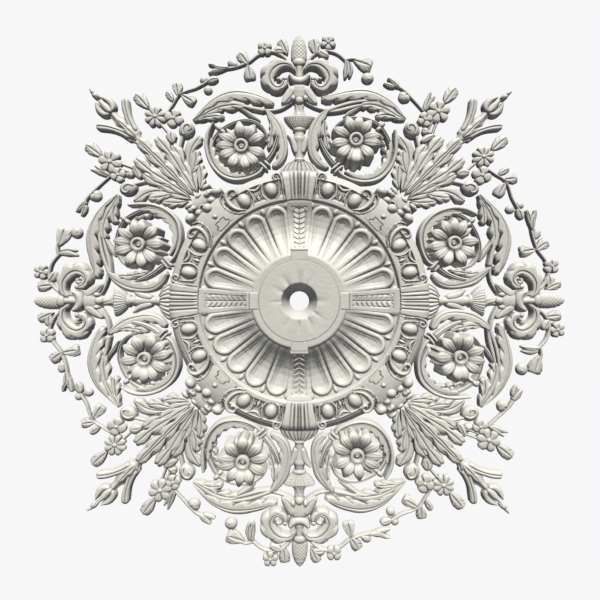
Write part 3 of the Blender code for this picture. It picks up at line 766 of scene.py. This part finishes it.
# the reeded shoot that goes on round the rosette, with two buds in its fork
stroke(right, [(210, 330), (206, 350), (198, 370), (183, 392), (160, 406), (132, 412), (106, 408),
               (86, 396), (74, 378)], (4.5, 4.5, 4.5, 4.5, 4, 4, 4, 3.5, 3), 34, 8, grooves=REED,
       crown=2.6, columns=12)
dome(right, (186, 396), (9, 6), 38, tilt=45)
dome(right, (179, 387), (8, 5), 37, tilt=45)
# the big leaf outside, smaller ones under it, and the stems they grow from
leaf(right, [(240, 409), (216, 434), (188, 452), (158, 462), (126, 464), (98, 461), (74, 457),
             (52, 457)], (3, 7, 12, 15, 16, 15, 12, 8), 29, (6, 1), grooves=((0.4, 0.08, 2.0),))
leaf(right, [(238, 405), (212, 419), (190, 432), (164, 440), (138, 440)], (4, 10, 14, 13, 6), 25,
     (4, 0), grooves=SIDE_VEIN)
leaf(right, [(238, 405), (216, 412), (198, 417), (174, 416)], (4, 9, 12, 6), 24, (3, 1),
     grooves=SIDE_VEIN)
stroke(right, [(205, 438), (175, 449), (145, 449), (112, 444), (80, 434), (57, 425)],
       (2, 4, 4.5, 5, 5, 6), 26, 9, crown=3)
stroke(right, [(60, 424), (90, 428), (118, 435), (144, 441)], (4, 5, 5, 3), 24, 8, crown=3)
stroke(right, [(140, 436), (126, 429), (112, 421), (99, 411)], (2.5, 5, 6, 3), 24, 8,
       grooves=SIDE_VEIN)
stroke(right, [(64, 428), (46, 432), (30, 438), (12, 448)], (5, 4, 4, 4), 22, 7, crown=2.6)
# the leaf beside the candelabrum, and its reeded sheath, tied with two bands
leaf(right, [(66, 430), (50, 410), (38, 382), (32, 354), (34, 330), (46, 312), (64, 298)],
     (5, 12, 17, 15, 13, 11, 5), 30, (5, 0), grooves=((0.4, 0.08, 2.0),))
leaf(right, [(58, 408), (56, 386), (60, 362), (66, 338)], (6, 12, 10, 4), 32, (4, 2),
     grooves=SIDE_VEIN)
stroke(right, [(46, 366), (54, 345), (66, 325), (82, 305)], (4, 5, 5.5, 6), 36, 8, grooves=REED,
       columns=12)
stroke(right, [(99, 304), (89, 297), (78, 287)], (3, 4.5, 3), 42, 9)
stroke(right, [(92, 311), (83, 303), (72, 294)], (3, 4.5, 3), 40, 9)
finish_piece(right, "right_scrolls", quarters=4)

# Candelabra
# On each of the four axes a little candelabrum stands on a shell: stem, reeded vase, husk of
# leaves, a pine cone at the tip, and two acanthus C-scrolls that curl away from its collar.
COLUMN_ROW_LENGTH = 2.6
LATTICE_ROW_LENGTH = 1.6
SCALE_PITCH = 8.0


def column(mesh, profile, crest, drop, aside=0.0, reeds=0, relief=1.0, lattice=0, twist=0.0,
           columns=14, fan=1.0):
    """Half-turned form on the unit's axis, from (distance out, half-width) pairs.

    Its height grows with its width. reeds, or a lattice of scales, stand up by relief; reeds can
    wind by twist, and spread like a fan where fan isn't 1.
    """
    widest = max(width for _, width in profile)
    scale = drawn_scale(crest)
    outs = [out for out, _ in profile]
    row_length = LATTICE_ROW_LENGTH if lattice else COLUMN_ROW_LENGTH
    rows = max(len(profile) * 3, round((outs[-1] - outs[0]) / row_length))

    def place(u, v):
        out = outs[0] + (outs[-1] - outs[0]) * v
        index = min(max(bisect_left(outs, out) - 1, 0), len(outs) - 2)
        share = smoothstep(0, 1, (out - outs[index]) / (outs[index + 1] - outs[index]))
        width = profile[index][1] + (profile[index + 1][1] - profile[index][1]) * share
        across = 2 * u - 1
        bulge = math.sqrt(max(0.0, 1 - across * across))
        height = crest - drop + drop * (0.4 + 0.6 * width / widest) * bulge
        wind = math.asin(across) if fan == 1.0 else across * fan
        if reeds:
            reed = abs(math.cos(reeds * wind / 2 + twist * (out - outs[0]))) ** 0.7
            height -= relief * (1 - reed) * bulge ** 0.5
        if lattice:
            climb = (out - outs[0]) / SCALE_PITCH
            turnings = wind / math.pi * lattice
            scales = abs(math.sin(math.pi * (climb + turnings)))
            scales *= abs(math.sin(math.pi * (climb - turnings)))
            height += relief * (math.sqrt(scales) - 0.6) * bulge
        return Vector(((aside + across * width) * scale, out * scale, height))

    carve(mesh, columns, rows, place)


def mirrored(points, side):
    """The same points, or their mirror image across the unit's axis."""
    return [(x * side, y) for x, y in points]


candelabra = bmesh.new()
# the shell, the stem, and the vase with its neck
column(candelabra, [(266, 47), (288, 46), (297, 42), (305, 36), (312, 27), (317, 15), (320, 3)],
       30, 15, reeds=9, relief=4.0, columns=54, fan=3.0)
column(candelabra, [(314, 11), (319, 13), (322, 10), (336, 10), (352, 12), (366, 15), (372, 12),
                    (380, 10), (384, 15), (388, 15), (390, 12)], 30, 14, columns=16)
column(candelabra, [(386, 9), (391, 16), (396, 22), (401, 27), (407, 31.5), (412, 34.5),
                    (416, 35.5), (418, 24)], 33, 15, reeds=30, relief=1.3, columns=90)
column(candelabra, [(412, 20), (419, 16), (425, 12), (432, 10.5), (444, 11)], 31, 12, reeds=8,
       relief=1.5, twist=0.12, columns=20)
# the husk with a bead on its foot, then the collar that holds the C-scrolls
column(candelabra, [(440, 9), (450, 13), (462, 19), (474, 21), (483, 20), (486, 15)], 31, 11,
       columns=20)
dome(candelabra, (0, 451), (10, 10.5), 35, 9)
column(candelabra, [(490, 11), (505, 10), (515, 9), (528, 9)], 31, 13)
stroke(candelabra, [(-23, 512), (-13, 499), (0, 495), (13, 499), (23, 512)], (5, 9.5, 11.5, 9.5, 5),
       35, 14)
# the pine cone in its cup
column(candelabra, [(528, 11), (536, 15), (548, 18), (562, 18), (574, 16.5), (585, 13), (593, 8),
                    (598, 1)], 29, 11, aside=-1, lattice=6, relief=1.3, columns=44)
dome(candelabra, (-1, 537), (15, 11), 32, 9, sides=24)
for side in (-1, 1):
    # a leaf of the calyx on the stem, and a leaf and a bead of the husk
    stroke(candelabra, mirrored([(7, 330), (11, 350), (16, 362), (27, 374)], side), (5, 8, 7, 2.5),
           28, 9, crown=3, columns=10)
    stroke(candelabra, mirrored([(9, 484), (16, 470), (26, 456), (39, 441)], side),
           (11, 14, 12, 5), 30, 10, grooves=((0.35 * side, 0.1, 2.5),), crown=3, columns=16)
    dome(candelabra, (side * 14, 456), (6.5, 8), 33, 8)
    # the C-scroll, its curled end, and a tendril by the cone
    lobes = (6, 0) if side > 0 else (0, 6)
    leaf(candelabra, mirrored([(9, 518), (22, 532), (44, 534), (63, 522), (71, 502), (63, 484),
                               (48, 477), (36, 484), (31, 498)], side),
         (4, 9, 14, 18, 18, 14, 10, 9, 6), 30, lobes, drop=12, bite=0.3,
         grooves=((0.25 * side, 0.09, 3.5),), columns=28)
    stroke(candelabra, mirrored([(52, 497), (44, 500), (38, 492)], side), (3, 5, 4), 26, 7)
    dome(candelabra, (side * 32, 500), (6, 6), 30, 6)
    stroke(candelabra, mirrored([(4, 508), (9, 520), (16, 530), (26, 541)], side), (3.5, 4, 4, 4),
           26, 7)
finish_piece(candelabra, "candelabra", quarters=4)

# Flower sprays
# Thin twigs arch out from the foot of each pine cone and carry leaves, buds and little flowers.
# They are the lowest and most delicate part of the casting.
SPRAY_TWIG_HEIGHT = 14.4


def leaflet(mesh, foot, tip, width, crest=16.0, drop=6.0):
    """Small pointed leaf with a sunk midrib and a few faint side veins."""
    middle = ((foot[0] + tip[0]) / 2, (foot[1] + tip[1]) / 2)
    widths = (width * 0.4, width * 0.95, width, width * 0.75, 1.5)
    stroke(mesh, [foot, middle, tip], widths, crest, drop, lobes=(4, 4), bite=0.06,
           lean=LEAF_LEAN, vein=1.2, grooves=((0.0, 0.12, 2.4),), crown=2.4, columns=16)


def blade(mesh, points, widths, crest, drop=7.0):
    """Small plain leaf with one sunk vein."""
    stroke(mesh, points, widths, crest, drop, grooves=SIDE_VEIN, columns=12)


def twig(mesh, points, widths, crest, crown=2.0):
    """Thin round stem."""
    stroke(mesh, points, widths, crest, 6, crown=crown)


def flower(mesh, centre, radius, petals, crest, tilt=0.0):
    """Small open flower: rounded petals round a button in a sunk eye."""
    dome(mesh, centre, (radius, radius), crest, 6, tilt, petals, bite=0.3, vein=4.5,
         sides=petals * 8, rings=7, hollow=3.0)
    dome(mesh, centre, (radius * 0.24, radius * 0.24), crest + 0.5, 5, sides=12, rings=3)


sprays = bmesh.new()
# the left twig with its forked end, leaves, a flower and a bud
twig(sprays, [(-8, 510), (-22, 534), (-40, 552), (-66, 561), (-92, 553), (-115, 536), (-150, 524),
              (-185, 521)], (4, 4, 4, 4, 3.5, 3.5, 3.5, 4), SPRAY_TWIG_HEIGHT, crown=2.6)
blade(sprays, [(-158, 524), (-180, 524), (-194, 530), (-205, 531)], (3, 8, 6, 2.5), 17)
blade(sprays, [(-170, 519), (-188, 517), (-205, 511)], (4, 7, 3), 16)
leaflet(sprays, (-26, 553), (-42, 587), 12)
blade(sprays, [(-30, 560), (-45, 563), (-58, 560)], (5, 12, 8), 16)
flower(sprays, (-78, 568), 18, 4, 19)
leaflet(sprays, (-114, 530), (-134, 558), 13)
leaflet(sprays, (-116, 532), (-110, 497), 14)
stroke(sprays, [(-138, 528), (-150, 534), (-162, 535)], (4, 10, 8), 16, 7)
# the right twig, shorter, with leaves, a flower, two hanging leaves and a berry
twig(sprays, [(6, 510), (16, 532), (32, 552), (55, 562), (82, 557), (100, 544), (108, 534)],
     (4, 4, 4, 4, 3.5, 3.5, 3.5), SPRAY_TWIG_HEIGHT, crown=2.6)
twig(sprays, [(102, 541), (122, 544), (140, 536), (150, 515)], (3.5, 3.5, 3, 3), SPRAY_TWIG_HEIGHT)
leaflet(sprays, (36, 552), (32, 588), 13)
blade(sprays, [(42, 562), (52, 556), (66, 548)], (7, 11, 6), 16)
flower(sprays, (65, 581), 18, 5, 19)
blade(sprays, [(106, 541), (107, 520), (102, 498)], (4, 8, 2.5), 17)
blade(sprays, [(112, 538), (115, 520), (113, 500)], (4, 7, 2.5), 16)
leaflet(sprays, (122, 540), (162, 527), 17)
dome(sprays, (154, 502), (14, 13), 18, 9, sides=24, rings=6)
dome(sprays, (156, 499), (5, 4), 19, 5)
finish_piece(sprays, "flower_sprays", quarters=4)

# Bouquets
# On each diagonal a fan of acanthus leaves holds a tall bud and two side sprays with small
# flowers, all tied to the frame by a ribbon.
bouquets = bmesh.new()
# a fan of leaves on either side, and a side stem that ends in a curled bud
for side in (-1, 1):
    # lobes are counted on the left and right edge, so they change places on the other side
    many_few = (3, 2) if side < 0 else (2, 3)
    many_one = (3, 1) if side < 0 else (1, 3)
    leaf(bouquets, mirrored([(10, 334), (24, 362), (44, 392), (70, 412), (104, 420)], side),
         (8, 15, 18, 15, 7), 24, many_few, grooves=SIDE_VEIN)
    leaf(bouquets, mirrored([(18, 334), (34, 346), (48, 360), (58, 376)], side), (6, 12, 12, 6), 23,
         many_one, grooves=SIDE_VEIN)
    leaf(bouquets, mirrored([(30, 372), (44, 378), (62, 390), (74, 404)], side), (5, 11, 12, 6), 26,
         many_one, grooves=SIDE_VEIN)
    leaf(bouquets, mirrored([(14, 352), (30, 392), (40, 424), (46, 448)], side), (6, 14, 16, 8), 26,
         (2, 2), grooves=SIDE_VEIN)
    leaf(bouquets, mirrored([(8, 340), (18, 388), (29, 436), (34, 486)], side), (7, 13, 17, 16, 10),
         28, (3, 3), grooves=SIDE_VEIN)
    stroke(bouquets, mirrored([(28, 410), (52, 432), (84, 452)], side), (4, 4, 4), 22, 8, crown=2.6)
    dome(bouquets, (side * 93, 453), (20, 17), 28, 11, tilt=side * 20, sides=28, rings=8)
    stroke(bouquets, mirrored([(80, 447), (86, 458), (98, 462), (106, 455), (101, 446), (93, 449)],
                              side), (2.5, 3.5, 4, 4, 3, 2), 31, 6)
# the middle leaf, which is the highest, and the thin stems of the side flowers
leaf(bouquets, [(0, 338), (0, 400), (0, 450), (0, 512)], (6, 12, 17, 18, 16, 9), 31, (4, 4),
     columns=30, bite=0.3, grooves=((-0.18, 0.07, 3.0), (0.18, 0.07, 3.0)))
twig(bouquets, [(-24, 418), (-40, 448), (-54, 478), (-68, 508)], (3, 3, 3, 3), 14)
twig(bouquets, [(-30, 430), (-58, 462), (-76, 500)], (3, 3, 3), 14)
blade(bouquets, [(-58, 446), (-54, 462), (-48, 480)], (5, 10, 4), 19, drop=8)
dome(bouquets, (-67, 471), (12, 10), 17, 8, petals=3, vein=3)
twig(bouquets, [(34, 418), (48, 442), (58, 470), (61, 505)], (4, 4, 3.5, 3.5), 14)
stroke(bouquets, [(50, 450), (56, 464), (68, 474)], (5, 13, 7), 20, 8, grooves=SIDE_VEIN,
       columns=14)
# the calyx on the middle leaf, with two curled petals and a bud of three more
column(bouquets, [(500, 10), (514, 10), (520, 12), (525, 18), (545, 21), (562, 17), (586, 9),
                  (602, 9)], 23, 14, reeds=4, relief=3.5, columns=34)
for side in (-1, 1):
    stroke(bouquets, mirrored([(7, 528), (14, 552), (26, 576), (36, 590), (46, 601)], side),
           (9, 9, 8, 9.5, 9), 22, 9, grooves=((0.0, 0.14, 2.4),), crown=3, columns=14)
    stroke(bouquets, mirrored([(3, 598), (13, 607), (15, 622), (8, 640)], side), (4, 8, 7.5, 2), 24,
           10, crown=2.4, columns=10)
leaf(bouquets, [(0, 520), (0, 545), (0, 576)], (9, 11, 8, 3), 26, (2, 2), bite=0.2,
     grooves=SIDE_VEIN)
stroke(bouquets, [(0, 598), (0, 618), (0, 639)], (5, 9.5, 8, 2.5), 28, 11, crown=2.2, columns=10)
dome(bouquets, (2, 652), (6.5, 11), 20, 8, petals=2, vein=2.5)
stroke(bouquets, [(2, 656), (3, 664), (5, 671)], (5, 4, 1.5), 19, 8)
# the left side flowers, with a leaf above them and a twig of leaves and a bud
flower(bouquets, (-80, 523), 27, 6, 20)
flower(bouquets, (-88, 489), 18, 4, 20, tilt=20)
leaflet(bouquets, (-84, 542), (-90, 587), 14)
twig(bouquets, [(-86, 530), (-86, 548)], (4, 4), 13.5)
blade(bouquets, [(-104, 500), (-112, 520), (-123, 541)], (5, 7, 2.5), 15)
blade(bouquets, [(-102, 500), (-106, 520), (-110, 541)], (4, 6, 2.5), 16)
twig(bouquets, [(-95, 498), (-125, 500), (-150, 501), (-175, 500), (-200, 490)], (3, 3, 3.5, 4, 4),
     13.5)
blade(bouquets, [(-180, 498), (-198, 497), (-214, 495)], (5, 8, 3), 16)
blade(bouquets, [(-186, 492), (-200, 485), (-212, 479)], (4, 7, 3), 15)
dome(bouquets, (-157, 491), (15, 13), 16, 8, petals=3, bite=0.15)
# the right side flowers, and a longer twig of leaves and berries
flower(bouquets, (64, 523), 25, 8, 20)
flower(bouquets, (91, 491), 22, 4, 20, tilt=-20)
leaflet(bouquets, (66, 544), (69, 589), 14)
twig(bouquets, [(88, 508), (112, 513), (135, 518), (155, 512), (175, 502), (205, 494)],
     (3, 3, 3, 3, 3.5, 4), 13.5)
blade(bouquets, [(200, 494), (212, 490), (225, 482)], (5, 10, 6), 16)
leaflet(bouquets, (116, 516), (122, 543), 8)
leaflet(bouquets, (132, 517), (151, 541), 12)
leaflet(bouquets, (139, 516), (148, 481), 13)
dome(bouquets, (199, 503), (9, 9), 15, 7)
dome(bouquets, (190, 481), (10, 10), 15, 7)
finish_piece(bouquets, "bouquets", quarters=4, turn=DIAGONAL)

# Floor
# A wide pale painted floor far below the ceiling, plain and matt. It throws no light back up, so
# it leaves the shading of the carving alone.
FLOOR_SIZE = 6.0
FLOOR_DEPTH = 2.5
FLOOR_WHITE = "E8E8E6"

floor_mesh = bmesh.new()
bmesh.ops.create_grid(floor_mesh, x_segments=1, y_segments=1, size=FLOOR_SIZE)
floor_data = bpy.data.meshes.new("floor")
floor_mesh.to_mesh(floor_data)
floor_mesh.free()
floor = bpy.data.objects.new("floor", floor_data)
floor.location.z = -FLOOR_DEPTH
floor.visible_diffuse = False
floor.visible_glossy = False
bpy.context.scene.collection.objects.link(floor)
paint = bpy.data.materials.new("pale_floor_paint")
paint.use_nodes = True
coat = paint.node_tree.nodes["Principled BSDF"]
coat.inputs["Base Color"].default_value = linear(FLOOR_WHITE)
coat.inputs["Roughness"].default_value = 0.9
floor_data.materials.append(paint)
